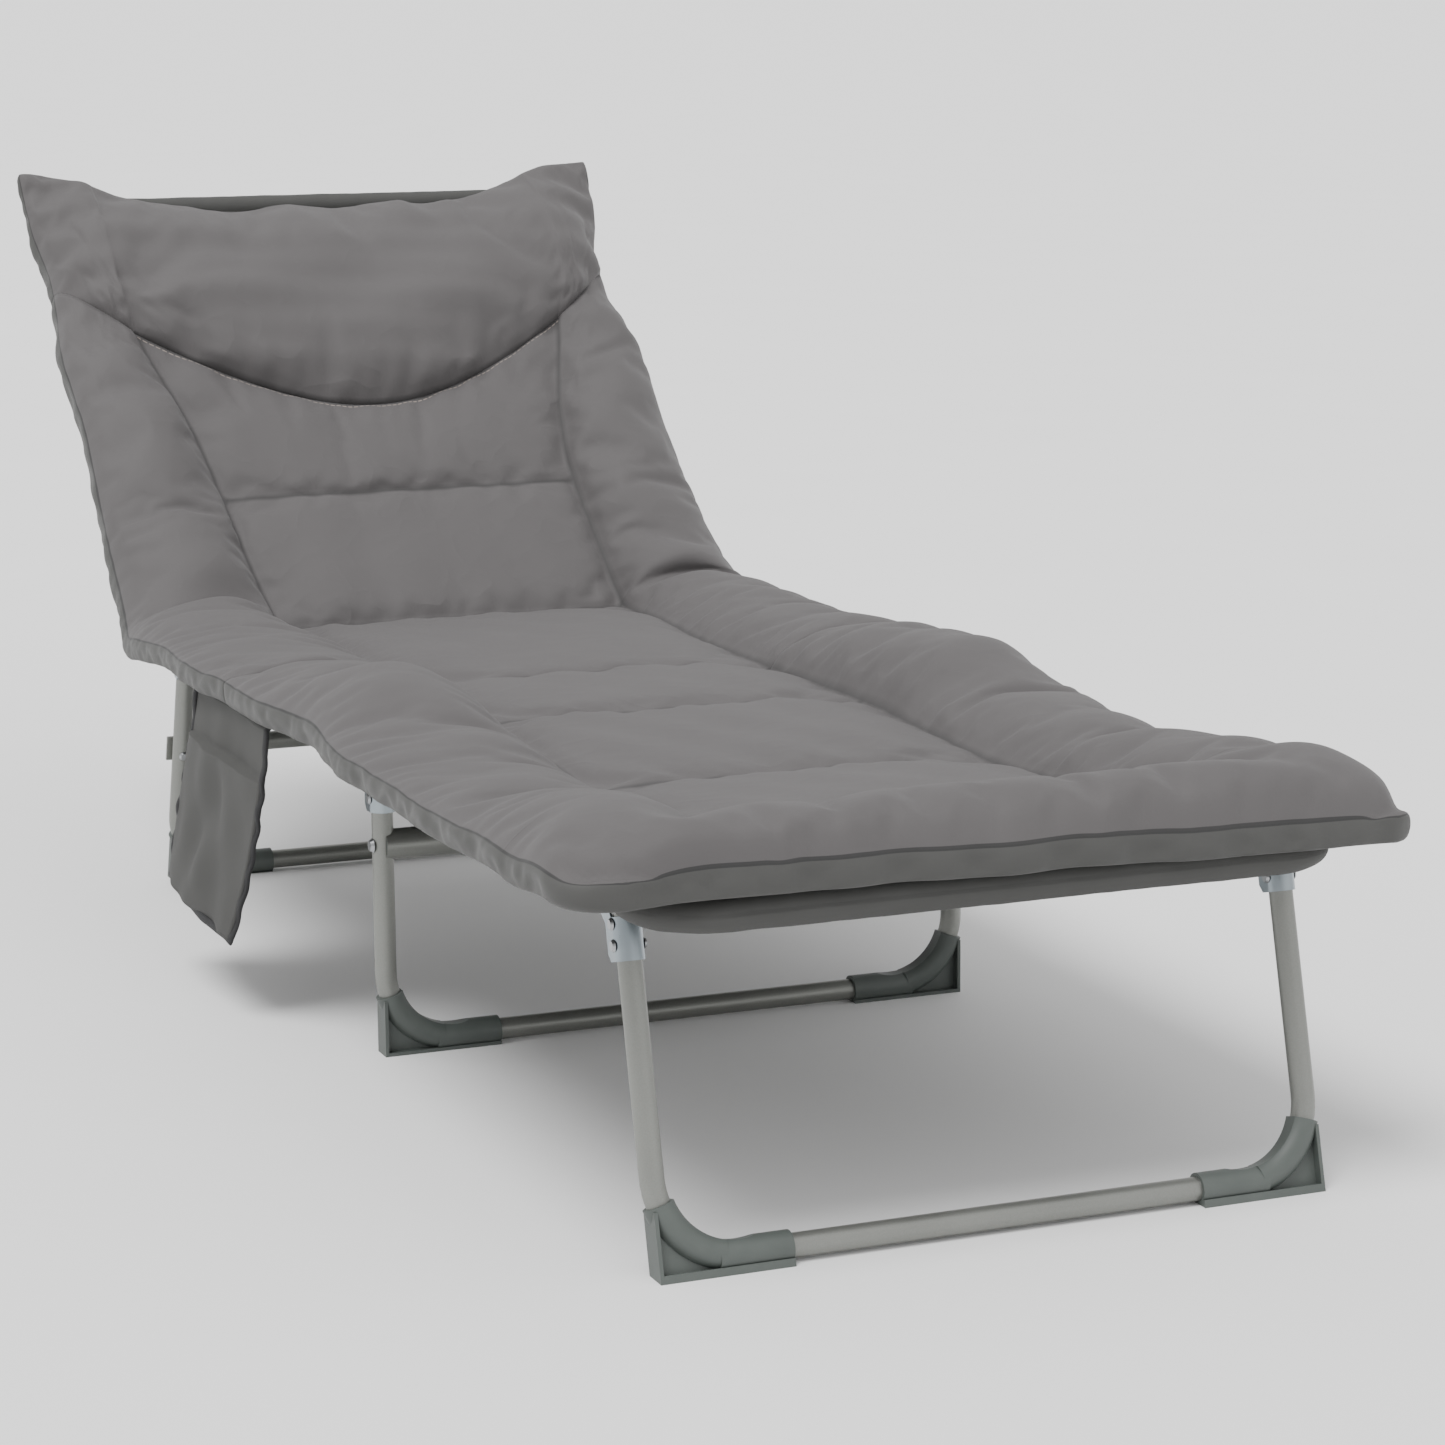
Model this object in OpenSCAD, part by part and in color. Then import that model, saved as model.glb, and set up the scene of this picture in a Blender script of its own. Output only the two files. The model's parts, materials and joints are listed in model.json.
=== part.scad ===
// Folding sun lounger with a padded mattress: three hinged sections on three folding U-legs.
// Origin: on the floor, under the centre of the lounger. +Y runs from the foot end to the head.

/* [Frame] */
// Outside diameter of the steel tube of the frame and the legs
tube_d = 19; // [18.5:0.1:19.4]
// Wall of the steel tube
tube_wall = 1.2; // [1:0.1:1.5]
// Width between the centre lines of the side tubes
frame_w = 552; // [520:2:600]
// Height of the side tubes' centre lines above the floor
rail_z = 274; // [268:1:282]
// Length of the foot section, from its end tube to its hinge
foot_len = 639; // [630:1:650]
// Length of the seat section, from hinge to hinge
seat_len = 690; // [688:1:710]
// Length of the backrest, from its hinge to its end tube
back_len = 540; // [500:1:600]
// Angle of the backrest above flat, as it stands at rest
back_angle = 46; // [0:1:70]
// Centre line radius of the bends at the foot end and at the head end
frame_bend = 70; // [50:1:90]

/* [Hinges] */
// Height of the foot hinge's pin above the side tubes
foot_hinge_h = 44; // [43:1:50]
// Height of the backrest hinge's pin above the side tubes
back_hinge_h = 28; // [26:1:29]
// Thickness of the pressed hinge plates
plate_t = 2.4; // [2:0.1:2.5]

/* [Legs] */
// Lean of the front leg, its foot towards the foot end
front_lean = 15; // [10:1:18]
// Lean of the middle leg, its foot towards the foot end
middle_lean = 1; // [0:0.5:4]
// Lean of the rear leg, its foot towards the head end
rear_lean = 16; // [12:1:17]
// Place of the front leg's pivot, from the foot end tube
front_pivot = 109; // [100:1:140]
// Distance of the middle leg's pivot from the foot hinge
middle_pivot = 44; // [43:1:46]
// Distance of the rear leg's pivot from the backrest hinge
rear_pivot = 66; // [62:1:70]
// Distance of a leg's centre line from its pivot
leg_offset = 25.5; // [25.2:0.1:26]
// Centre line radius of the legs' bends
leg_bend = 62; // [50:1:75]
// Diameter of the brace tube between the middle leg's sides
brace_d = 27; // [22:0.5:27]

/* [Mattress] */
// Width of the seat and foot mattress
pad_w = 704; // [660:2:740]
// Width of the backrest mattress
back_pad_w = 650; // [620:2:700]
// Thickness of the seat and foot mattress
pad_t = 48; // [30:1:55]
// Thickness of the backrest mattress
back_pad_t = 42; // [30:1:50]
// Overhang of the mattress past the foot end tube
pad_over = 24; // [10:1:40]
// Width of the side pocket along the lounger
pocket_w = 230; // [180:2:260]
// Depth of the side pocket below the mattress
pocket_h = 190; // [150:2:210]

/* [Hidden] */
$fn = 48;

tube_r = tube_d / 2;
half = frame_w / 2;

// Places along the lounger, counted from the foot end tube.
foot_hinge_y = foot_len;
back_hinge_y = foot_len + seat_len;
middle_pivot_y = foot_hinge_y + middle_pivot;
rear_pivot_y = back_hinge_y - rear_pivot;
rail_gap = 3;

// Sleeves of base fabric: thin along the side tubes, padded round the two end tubes.
fabric_gap = 0.3;
sleeve_r = tube_r + 1.8;
roll_r = tube_r + 4;
sling_t = 1.2;
pad_z = rail_z + sleeve_r + 0.7;

// The base fabric hangs between the side tubes, and the mattress follows it: half width of the
// lower middle panel, the fabric's underside there below the tubes' centre lines, and how far the
// mattress panel's top lies below its side bolsters.
panel_half = 190;
web_drop = 6.5;
panel_dip = 26;

// Layers of plates beside a side tube: moving plates, then fixed plates.
inner_layer = tube_r + 0.1;
outer_layer = inner_layer + plate_t + 0.3;
outer_face = outer_layer + plate_t;

// Rivets, pins and the running clearance of a pin in its moving plates.
rivet_r = 2.5;
pin_r = 3.5;
recline_pin_r = 4;
running = 0.06;
head_h = 2;

// Leg brackets: folded channel, its rivets and its bottom edge, measured down from the pivot.
bracket_t = 1.8;
bracket_in = tube_r + 0.3;
bracket_out = bracket_in + bracket_t;
bracket_low = 56;
bracket_rivets = [28, 44];
leg_top = 21;

// Feet: thickness of the sole below the tube and of the sleeve around it.
sole_t = 2;
shoe_wall = 3;
cross_z = tube_r + sole_t;
shoe_len = 108;

// The backrest's pin line, and the two ends of the whole lounger.
back_pin_z = rail_z + back_hinge_h;
head_y = back_hinge_y + back_len * cos(back_angle) + back_hinge_h * sin(back_angle) + roll_r;
mid_y = (head_y - pad_over) / 2;

// Length of a leg along its own line, from the pivot's level to the cross tube.
function leg_len(lean) = (rail_z + leg_offset * sin(lean) - cross_z) / cos(lean);

// Puts a shape drawn from the foot end tube into the part's own frame.
module bed() {
    translate([0, -mid_y, 0]) children();
}

// Puts a shape drawn flat, from the backrest's pin, at the backrest's angle.
module reclined() {
    bed() translate([0, back_hinge_y, back_pin_z]) rotate([back_angle, 0, 0]) children();
}

// A leg is drawn hanging straight down from its pivot, folding towards +Y.
module front_leg() {
    bed() translate([0, front_pivot, rail_z]) rotate([-front_lean, 0, 0]) children();
}

module middle_leg() {
    bed() translate([0, middle_pivot_y, rail_z]) rotate([-middle_lean, 0, 0]) children();
}

module rear_leg() {
    bed() translate([0, rear_pivot_y, rail_z]) mirror([0, 1, 0]) rotate([-rear_lean, 0, 0])
        children();
}

// Round bar along X, centred on x.
module bar_x(r, len) {
    rotate([0, 90, 0]) cylinder(r = r, h = len, center = true);
}

// Flat plate in the YZ plane, from x to x + t.
module plate_x(x, t) {
    translate([x, 0, 0]) rotate([90, 0, 90]) linear_extrude(t) children();
}

// The two plates of one layer, one on each side of a side tube.
module plate_pair(layer, t) {
    plate_x(layer, t) children();
    plate_x(-layer - t, t) children();
}

// Solid U of round bar: its end lies on the X line through the origin, its arms run along +Y.
module u_bar(arm, bend, r) {
    for (side = [-1, 1]) {
        translate([side * half, bend, 0]) rotate([-90, 0, 0]) cylinder(r = r, h = arm - bend);
        translate([side * (half - bend), bend, 0]) rotate([0, 0, side > 0 ? 270 : 180])
            rotate_extrude(angle = 90) translate([bend, 0]) circle(r = r);
    }
    bar_x(r, 2 * (half - bend));
}

module u_tube(arm, bend) {
    difference() {
        u_bar(arm, bend, tube_r);
        u_bar(arm + 1, bend, tube_r - tube_wall);
    }
}

// Rivet along X with a low round head on each side.
module rivet_x(r, grip) {
    bar_x(r, grip);
    for (side = [-1, 1])
        translate([side * grip / 2, 0, 0]) rotate([0, side * 90, 0])
            cylinder(r1 = 2 * r, r2 = 1.4 * r, h = head_h);
}

// Holes for the pins and rivets that cross the two side tubes, at places along Y and Z.
module cross_holes(r, places) {
    for (p = places) translate([0, p[0], p[1]]) bar_x(r, 2 * half + 60);
}

// Draws a cross-section, in X and Z, along +Y from a to b.
module along_y(a, b) {
    translate([0, b, 0]) rotate([90, 0, 0]) linear_extrude(b - a) children();
}

// Cross-section of the base fabric's web: level over the side tubes, lower between them.
module web_outline(edge) {
    top = tube_r + 0.4;
    polygon([
        [-edge, top], [-half + 15, top], [-panel_half, -web_drop], [panel_half, -web_drop],
        [half - 15, top], [edge, top], [edge, top + sling_t], [half - 15, top + sling_t],
        [panel_half, sling_t - web_drop], [-panel_half, sling_t - web_drop],
        [-half + 15, top + sling_t], [-edge, top + sling_t]
    ]);
}

// Base fabric: a web between the side tubes, with sleeves sewn round them from a to b.
module sling(web_a, web_b, a, b) {
    along_y(web_a, web_b) intersection() {
        web_outline(half);
        square([frame_w - 30, 60], center = true);
    }
    along_y(a, b) {
        web_outline(half);
        for (side = [-1, 1]) translate([side * half, 0]) difference() {
            circle(r = sleeve_r);
            circle(r = tube_r + fabric_gap);
        }
    }
}

// Mattress outline from above, with round corners at both ends, drawn from y = 0.
module pad_plan(w, len, corner) {
    translate([-w / 2 + corner, 0]) square([w - 2 * corner, len]);
    translate([-w / 2, corner]) square([w, len - 2 * corner]);
    for (x = [-1, 1], y = [corner, len - corner])
        translate([x * (w / 2 - corner), y]) circle(r = corner);
}

// Mattress cross-section, from z = 0 over the side tubes: side bolsters and a lower panel.
module pad_outline(w, t) {
    low = tube_r + 0.4 + web_drop;
    dip = t - panel_dip;
    polygon([
        [-w / 2, 0], [-half + 13, 0], [-panel_half, -low], [panel_half, -low], [half - 13, 0],
        [w / 2, 0], [w / 2, t], [panel_half + 15, t], [panel_half - 5, dip],
        [-panel_half + 5, dip], [-panel_half - 15, t], [-w / 2, t]
    ]);
}

// Slots in the mattress where hinge plates stand up beside the side tubes, from y = a to b.
module hinge_slots(a, b) {
    for (side = [-1, 1])
        translate([side * half - outer_face - 4, a, -30])
            cube([2 * outer_face + 8, b - a, pad_t + 40]);
}

// ---- Foot section ----

foot_leaf_rivets = [-22, -44];
foot_plate_rivets = [12, 24];

module foot_frame() {
    color("silver") bed() translate([0, 0, rail_z]) difference() {
        u_tube(foot_len - rail_gap, frame_bend);
        cross_holes(pin_r, [[front_pivot, 0]]);
        cross_holes(rivet_r, [for (y = foot_leaf_rivets) [foot_hinge_y + y, 0]]);
    }
}

module foot_end_sleeve() {
    color("dimgray") bed() translate([0, 0, rail_z]) difference() {
        u_bar(front_pivot - 45, frame_bend - 8, roll_r);
        u_bar(front_pivot, frame_bend, tube_r + fabric_gap);
    }
}

module foot_sling() {
    color("dimgray") bed() translate([0, 0, rail_z]) difference() {
        sling(roll_r + 1, foot_len - 34, front_pivot + 28, foot_len - 68);
        u_bar(front_pivot - 44, frame_bend - 8, roll_r + fabric_gap);
    }
}

// Moving plate of the foot hinge: from the pin down and back along the foot section's tube.
module foot_leaf_outline() {
    circle(r = 9);
    polygon([
        [8, -4], [-3, -foot_hinge_h - 8], [-56, -foot_hinge_h - 8], [-56, -foot_hinge_h + 8],
        [-26, -foot_hinge_h + 10], [-8.9, 1]
    ]);
}

module foot_hinge_leaf(side) {
    color("lightgray") bed()
        translate([side * half, foot_hinge_y, rail_z + foot_hinge_h]) difference() {
            plate_pair(inner_layer, plate_t) foot_leaf_outline();
            bar_x(pin_r + running, 60);
            for (y = foot_leaf_rivets) translate([0, y, -foot_hinge_h]) bar_x(rivet_r, 60);
        }
}

module foot_leaf_rivets() {
    color("gainsboro") bed()
        for (side = [-1, 1], y = foot_leaf_rivets)
            translate([side * half, foot_hinge_y + y, rail_z])
                rivet_x(rivet_r, 2 * (inner_layer + plate_t));
}

// The foot end's bolster lies level on the padded roll round the end tube.
module foot_pad() {
    len = foot_hinge_y + pad_over - 4;
    end = pad_over + frame_bend + 20;
    lift = roll_r - sleeve_r;
    color("gray") bed() translate([0, -pad_over, pad_z]) difference() {
        union() {
            intersection() {
                translate([0, 0, lift]) linear_extrude(pad_t - lift) pad_plan(pad_w, len, 45);
                translate([-pad_w, -1, 0]) cube([2 * pad_w, end + 1, pad_t]);
            }
            intersection() {
                translate([0, 0, -30]) linear_extrude(pad_t + 30) pad_plan(pad_w, len, 45);
                along_y(end, len) pad_outline(pad_w, pad_t);
            }
        }
        hinge_slots(len - 30, len + 1);
    }
}

module leg_pivots(y) {
    grip = 2 * bracket_out + 0.6;
    color("gainsboro") bed()
        for (side = [-1, 1]) translate([side * half, y, rail_z]) rivet_x(pin_r, grip);
}

// ---- Seat section ----

cheek_rivets = [-24, -36];

module seat_rail(side) {
    color("silver") bed() difference() {
        translate([side * half, foot_hinge_y + rail_gap, rail_z]) rotate([-90, 0, 0]) difference() {
            cylinder(r = tube_r, h = seat_len - 2 * rail_gap);
            translate([0, 0, -1]) cylinder(r = tube_r - tube_wall, h = seat_len);
        }
        cross_holes(pin_r, [[middle_pivot_y, rail_z], [rear_pivot_y, rail_z]]);
        cross_holes(rivet_r, [for (y = foot_plate_rivets) [foot_hinge_y + y, rail_z]]);
        cross_holes(rivet_r, [for (y = cheek_rivets) [back_hinge_y + y, rail_z]]);
    }
}

module seat_sling() {
    color("dimgray") bed() translate([0, 0, rail_z])
        sling(foot_hinge_y + 38, back_hinge_y - 52, middle_pivot_y + 30, rear_pivot_y - 30);
}

// Fixed plate of the foot hinge: from the pin down to the end of the seat's tube.
module foot_plate_outline() {
    circle(r = 9);
    polygon([
        [-8, -4], [2, -foot_hinge_h - 8], [34, -foot_hinge_h - 8], [34, -foot_hinge_h + 8],
        [20, -foot_hinge_h + 12], [8.9, 1]
    ]);
}

// Bosses pressed in a fixed plate, which reach in past the moving layer to the tube.
module plate_bosses(r) {
    for (side = [-1, 1])
        translate([side * (inner_layer + outer_layer) / 2, 0, 0])
            bar_x(r, outer_layer - inner_layer);
}

module foot_hinge_plate(side) {
    color("lightgray") bed()
        translate([side * half, foot_hinge_y, rail_z + foot_hinge_h]) difference() {
            union() {
                plate_pair(outer_layer, plate_t) foot_plate_outline();
                for (y = foot_plate_rivets) translate([0, y, -foot_hinge_h]) plate_bosses(5);
            }
            bar_x(pin_r, 60);
            for (y = foot_plate_rivets) translate([0, y, -foot_hinge_h]) bar_x(rivet_r, 60);
        }
}

module foot_hinge_pins() {
    color("gainsboro") bed()
        for (side = [-1, 1])
            translate([side * half, foot_hinge_y, rail_z + foot_hinge_h])
                rivet_x(pin_r, 2 * outer_face);
}

// Fixed cheek of the recline hinge: a round cover over the teeth, with a tail on the seat's tube.
module cheek_outline() {
    circle(r = 23);
    polygon([
        [-21, 8], [-58, -back_hinge_h + 8], [-58, -back_hinge_h - 8],
        [-10, -back_hinge_h - 8], [18, -14]
    ]);
}

click_place = [-24.6, -1.5];

module recline_cheeks(side) {
    color("lightgray") bed() translate([side * half, back_hinge_y, back_pin_z]) difference() {
        union() {
            plate_pair(outer_layer, plate_t) cheek_outline();
            for (y = cheek_rivets) translate([0, y, -back_hinge_h]) plate_bosses(5);
        }
        bar_x(recline_pin_r, 60);
        translate([0, click_place[0], click_place[1]]) bar_x(rivet_r, 60);
        for (y = cheek_rivets) translate([0, y, -back_hinge_h]) bar_x(rivet_r, 60);
    }
}

module recline_pins() {
    color("gainsboro") bed()
        for (side = [-1, 1])
            translate([side * half, back_hinge_y, back_pin_z]) rivet_x(recline_pin_r, 2 * outer_face);
}

// Click pins lie across the cheeks, just clear of the teeth's tips.
module recline_click_pins() {
    color("gainsboro") bed()
        for (side = [-1, 1])
            translate([side * half, back_hinge_y + click_place[0], back_pin_z + click_place[1]]) {
                bar_x(rivet_r, 2 * outer_face + 2);
                bar_x(3.5, 2 * outer_layer);
            }
}

module seat_rivets() {
    places = concat(
        [for (y = foot_plate_rivets) foot_hinge_y + y],
        [for (y = cheek_rivets) back_hinge_y + y]
    );
    color("gainsboro") bed()
        for (side = [-1, 1], y = places)
            translate([side * half, y, rail_z]) rivet_x(rivet_r, 2 * outer_face);
}

module seat_pad() {
    len = seat_len - 26;
    color("gray") bed() translate([0, foot_hinge_y + 4, pad_z]) difference() {
        intersection() {
            translate([0, 0, -30]) linear_extrude(pad_t + 30) pad_plan(pad_w, len, 20);
            along_y(-1, len + 1) pad_outline(pad_w, pad_t);
        }
        hinge_slots(-1, 22);
        hinge_slots(len - 44, len + 1);
    }
}

// Side pocket: a pouch sewn to the mattress's left edge, hanging a little outwards.
pocket_y = foot_hinge_y + 100;
pocket_x = -pad_w / 2 + 3;
pocket_lean = 16;
pocket_gap = 10;
pocket_mouth = 46;
cloth_t = 1.5;

// X of the pocket's back panel at a depth below its top.
function pocket_line(depth) = pocket_x - pocket_lean * depth / pocket_h;

module pocket_outline(grow) {
    polygon([
        [pocket_line(0) + grow, 0], [pocket_line(pocket_h) + grow, -pocket_h - grow],
        [pocket_line(pocket_h) - 2 * cloth_t - grow, -pocket_h - grow],
        [pocket_line(pocket_mouth) - 2 * cloth_t - pocket_gap - grow, -pocket_mouth],
        [pocket_line(pocket_mouth) - cloth_t - grow, -pocket_mouth],
        [pocket_line(0) - cloth_t - grow, 0]
    ]);
}

module pocket_hollow() {
    polygon([
        [pocket_line(pocket_mouth) - cloth_t, -pocket_mouth + 1],
        [pocket_line(pocket_h) - cloth_t, -pocket_h + 4],
        [pocket_line(pocket_h) - cloth_t - 1, -pocket_h + 4],
        [pocket_line(pocket_mouth) - cloth_t - pocket_gap, -pocket_mouth],
        [pocket_line(pocket_mouth) - cloth_t - pocket_gap, -pocket_mouth + 1]
    ]);
}

module along_pocket(from, to) {
    translate([0, pocket_y + to, pad_z - 0.5]) rotate([90, 0, 0]) linear_extrude(to - from)
        children();
}

module side_pocket() {
    color("dimgray") bed() difference() {
        along_pocket(0, pocket_w) pocket_outline(0);
        along_pocket(cloth_t, pocket_w - cloth_t) pocket_hollow();
    }
}

module pocket_binding() {
    color("black") bed() difference() {
        along_pocket(-1, pocket_w + 1) pocket_outline(1);
        along_pocket(3, pocket_w - 3) translate([0, 4]) pocket_outline(4);
        along_pocket(0, pocket_w) pocket_outline(0);
        along_pocket(cloth_t, pocket_w - cloth_t) pocket_hollow();
    }
}

// ---- Backrest, drawn flat from its pin ----

back_arm_rivets = [28, 48];
teeth = 18;
tooth_tip = 20;
tooth_root = 17.5;

module back_frame() {
    color("silver") reclined() translate([0, back_len, -back_hinge_h]) mirror([0, 1, 0])
        difference() {
            u_tube(back_len - rail_gap, frame_bend);
            cross_holes(rivet_r, [for (y = back_arm_rivets) [back_len - y, 0]]);
        }
}

// Length of the padded roll along the side tubes from the head end.
back_roll = frame_bend + 40;

module back_end_sleeve() {
    color("dimgray") reclined() translate([0, back_len, -back_hinge_h]) mirror([0, 1, 0])
        difference() {
            u_bar(back_roll, frame_bend - 8, roll_r);
            u_bar(frame_bend + 60, frame_bend, tube_r + fabric_gap);
        }
}

module back_sling() {
    color("dimgray") reclined() translate([0, back_len, -back_hinge_h]) mirror([0, 1, 0])
        difference() {
            sling(roll_r + 1, back_len - 34, back_roll + 2, back_len - 66);
            u_bar(back_roll + 1, frame_bend - 8, roll_r + fabric_gap);
        }
}

// Moving arm of the recline hinge: a toothed wheel with a tail on the backrest's tube.
module arm_outline() {
    polygon([
        for (i = [0 : 2 * teeth - 1])
            let (r = i % 2 == 0 ? tooth_tip : tooth_root, a = i * 180 / teeth)
                [r * cos(a), r * sin(a)]
    ]);
    polygon([
        [-12, -10], [2, -back_hinge_h - 8], [60, -back_hinge_h - 8],
        [60, -back_hinge_h + 8], [22, -back_hinge_h + 8], [12, -4]
    ]);
}

module recline_arms(side) {
    color("lightgray") reclined() translate([side * half, 0, 0]) difference() {
        plate_pair(inner_layer, plate_t) arm_outline();
        bar_x(recline_pin_r + running, 60);
        for (y = back_arm_rivets) translate([0, y, -back_hinge_h]) bar_x(rivet_r, 60);
    }
}

module recline_bushes() {
    color("gainsboro") reclined()
        for (side = [-1, 1]) translate([side * half, 0, 0]) difference() {
            bar_x(7, 2 * inner_layer);
            bar_x(recline_pin_r + running, 60);
        }
}

module back_rivets() {
    color("gainsboro") reclined()
        for (side = [-1, 1], y = back_arm_rivets)
            translate([side * half, y, -back_hinge_h])
                rivet_x(rivet_r, 2 * (inner_layer + plate_t));
}

pad_start = 24;
pad_tip = 25;

module back_pad() {
    low = pad_z - back_pin_z;
    lift = roll_r - sleeve_r;
    body = back_len - back_roll - 2 - pad_start;
    len = back_len - pad_start + pad_tip - back_pad_t / 2;
    color("gray") reclined() translate([0, pad_start, low]) difference() {
        union() {
            along_y(0, body) pad_outline(back_pad_w, back_pad_t);
            translate([-back_pad_w / 2, body, lift])
                cube([back_pad_w, len - body, back_pad_t - lift]);
            translate([0, len, (back_pad_t + lift) / 2])
                bar_x((back_pad_t - lift) / 2, back_pad_w);
        }
        hinge_slots(-1, 40);
    }
}

// Head pillow: a low crowned bolster on the backrest mattress.
pillow_w = 520;
pillow_len = 170;
pillow_h = 24;

module head_pillow() {
    crown = (pillow_len * pillow_len / 4 + pillow_h * pillow_h) / (2 * pillow_h);
    top = pad_z - back_pin_z + back_pad_t + fabric_gap;
    color("gray") reclined() translate([0, back_len - 95, top]) intersection() {
        translate([0, 0, pillow_h - crown]) bar_x(crown, pillow_w);
        translate([-pillow_w / 2, -crown, 0]) cube([pillow_w, 2 * crown, pillow_h + 1]);
    }
}

// ---- Legs, drawn hanging from their pivot ----

// Moves a shape to the leg's centre line, at a depth below the pivot.
module on_leg(depth) {
    translate([0, -leg_offset, -depth]) children();
}

module leg_bar(lean, r, bend) {
    on_leg(leg_len(lean)) rotate([90, 0, 0]) u_bar(leg_len(lean) - leg_top, bend, r);
}

module leg_tube(lean) {
    on_leg(leg_len(lean)) rotate([90, 0, 0]) u_tube(leg_len(lean) - leg_top, leg_bend);
}

module leg_rivet_holes() {
    for (z = bracket_rivets) on_leg(z) bar_x(rivet_r, 2 * half + 60);
}

module bracket_outline() {
    circle(r = 9);
    polygon([
        [-leg_offset, -bracket_low], [-leg_offset + 8, -bracket_low],
        [-leg_offset + 12.5, -bracket_low + 6], [-leg_offset + 12.5, -27],
        [7.5, -5], [-5, 7.5], [-leg_offset, -leg_top - 2]
    ]);
}

// Leg bracket: a channel folded round the outer side of the leg, its flanges reaching the pivot.
module leg_bracket(side) {
    channel = bracket_low - leg_top - 2;
    color("lightsteelblue") translate([side * half, 0, 0]) difference() {
        union() {
            plate_pair(bracket_in, bracket_t) bracket_outline();
            on_leg(bracket_low) intersection() {
                difference() {
                    cylinder(r = bracket_out, h = channel);
                    translate([0, 0, -1]) cylinder(r = bracket_in, h = channel + 2);
                }
                translate([-20, -20, 0]) cube([40, 20, channel]);
            }
        }
        bar_x(pin_r + running, 60);
        for (z = bracket_rivets) on_leg(z) bar_x(rivet_r, 60);
    }
}

module leg_rivets() {
    color("gainsboro")
        for (side = [-1, 1], z = bracket_rivets)
            translate([side * half, 0, 0]) on_leg(z) rivet_x(rivet_r, 2 * bracket_out);
}

// Corner foot, drawn for the right side: a sleeve round the bend, with a web down to a square corner.
module corner_foot(lean, side) {
    reach = half + 5;
    floor_d = leg_len(lean) + cross_z + 12;
    bend_x = half - leg_bend;
    top_d = leg_len(lean) - 38;
    mirror([side < 0 ? 1 : 0, 0, 0]) difference() {
        union() {
            on_leg(leg_len(lean) - leg_bend) translate([bend_x, 0, 0]) rotate([90, 0, 0])
                rotate([0, 0, 282]) rotate_extrude(angle = 60)
                    translate([leg_bend, 0]) circle(r = tube_r + shoe_wall);
            on_leg(leg_len(lean)) translate([reach - shoe_len, 0, 0]) rotate([0, 90, 0])
                cylinder(r = tube_r + shoe_wall, h = bend_x + 18 - reach + shoe_len);
            translate([bend_x + 8, -leg_offset - 3, -floor_d])
                cube([leg_bend - 8, 6, floor_d - leg_len(lean) + 14]);
            translate([reach - 14, -leg_offset - 3, -floor_d]) cube([13, 6, floor_d - top_d]);
            translate([reach - 3, -leg_offset - 11, -floor_d]) cube([3, 22, floor_d - top_d]);
            translate([reach - shoe_len, -leg_offset - 11, -floor_d])
                cube([shoe_len, 22, floor_d - leg_len(lean) - tube_r + 1]);
        }
        leg_bar(lean, tube_r, leg_bend);
        on_leg(leg_len(lean) - leg_bend) translate([bend_x, -20, 0]) rotate([-90, 0, 0])
            cylinder(r = leg_bend - tube_r - 1, h = 40);
    }
}

// Keeps only what is above the floor, so that every sole lies flat.
module above_floor() {
    intersection() {
        children();
        translate([-500, -1500, 0]) cube([1000, 3000, 500]);
    }
}

module front_leg_tube() {
    color("silver") front_leg() difference() {
        leg_tube(front_lean);
        leg_rivet_holes();
    }
}

module front_foot(side) {
    color("slategray") above_floor() front_leg() corner_foot(front_lean, side);
}

brace_d_below = 86;

module middle_leg_tube() {
    color("silver") middle_leg() difference() {
        leg_tube(middle_lean);
        leg_rivet_holes();
        on_leg(brace_d_below) bar_x(rivet_r, 2 * half + 60);
    }
}

module middle_foot(side) {
    color("slategray") above_floor() middle_leg() corner_foot(middle_lean, side);
}

// Brace tube between the middle leg's sides, its ends cut to saddle the leg tubes.
module middle_leg_brace() {
    color("silver") middle_leg() on_leg(brace_d_below) difference() {
        bar_x(brace_d / 2, 2 * half);
        bar_x(brace_d / 2 - tube_wall, 2 * half + 1);
        for (side = [-1, 1]) translate([side * half, 0, 0])
            cylinder(r = tube_r, h = 60, center = true);
    }
}

module middle_brace_plugs() {
    plug = 24;
    color("darkslategray") middle_leg() on_leg(brace_d_below)
        for (side = [-1, 1]) difference() {
            translate([side * (half - plug / 2), 0, 0]) bar_x(brace_d / 2 - tube_wall, plug);
            translate([side * half, 0, 0]) cylinder(r = tube_r, h = 60, center = true);
            translate([side * half, 0, 0]) bar_x(rivet_r, 2 * plug + 10);
        }
}

module middle_brace_screws() {
    grip = 21;
    color("gainsboro") middle_leg() on_leg(brace_d_below)
        for (side = [-1, 1]) {
            translate([side * (half + tube_r - grip / 2), 0, 0]) bar_x(rivet_r, grip);
            translate([side * (half + tube_r), 0, 0]) rotate([0, side * 90, 0])
                cylinder(r1 = 6.5, r2 = 4.5, h = 3);
        }
}

rear_brace_below = 144;
flat_t = 3;
flat_w = 26;

module rear_brace_holes() {
    for (side = [-1, 1])
        translate([side * half, -leg_offset - 20, -rear_brace_below]) rotate([-90, 0, 0])
            cylinder(r = rivet_r, h = 60);
}

module rear_leg_tube() {
    color("silver") rear_leg() difference() {
        leg_tube(rear_lean);
        leg_rivet_holes();
        rear_brace_holes();
    }
}

module rear_foot(side) {
    color("slategray") above_floor() rear_leg() corner_foot(rear_lean, side);
}

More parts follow.
